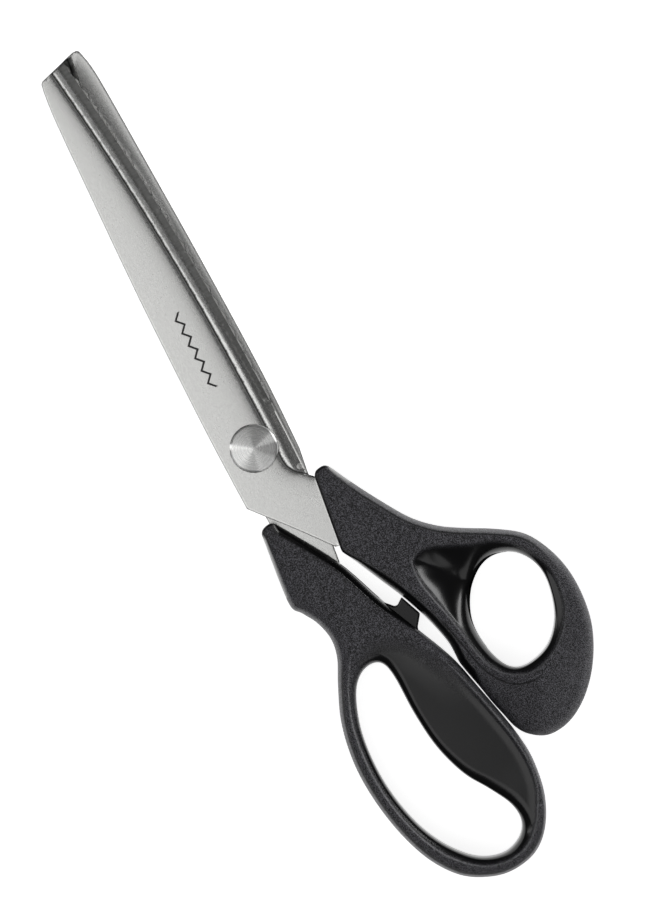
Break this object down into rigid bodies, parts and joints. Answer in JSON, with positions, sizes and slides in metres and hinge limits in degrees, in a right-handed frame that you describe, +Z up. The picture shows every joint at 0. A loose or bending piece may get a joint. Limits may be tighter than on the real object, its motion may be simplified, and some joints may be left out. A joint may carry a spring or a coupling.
{
  "type": "pinking shears",
  "caption": "Bent-trimmer pinking shears: zigzag-toothed steel blades turning on a domed screw, with moulded thumb and finger loop handles.",
  "frame": {"origin": "on the pivot axis, at the flat outer face of the lock nut, level with the undersides of both handles", "axes": "+X from the pivot towards the blade tips, +Z up along the pivot screw towards its head, +Y towards the back of the upper blade"},
  "size_m": [0.2326, 0.0704, 0.012],
  "materials": {
    "blade_steel": "satin ground stainless steel",
    "handle_plastic": "fine matte grain, smooth in the grips",
    "turned_steel": "circular turned face",
    "bronze": "plain bearing bronze"
  },
  "bodies": {
    "lower_half": {"lower_blade": "blade_steel", "finger_handle": "handle_plastic", "pivot_screw": "turned_steel", "thrust_washer": "bronze", "spring_washer": "turned_steel", "lock_nut": "turned_steel"},
    "upper_half": {"upper_blade": "blade_steel", "thumb_handle": "handle_plastic", "head_washer": "bronze"}
  },
  "joints": [
    {"name": "pivot", "type": "hinge", "parent": "lower_half", "child": "upper_half", "pos_m": [0, 0, 0.006], "axis": [0, 0, 1], "range_deg": [0, 50]}
  ]
}
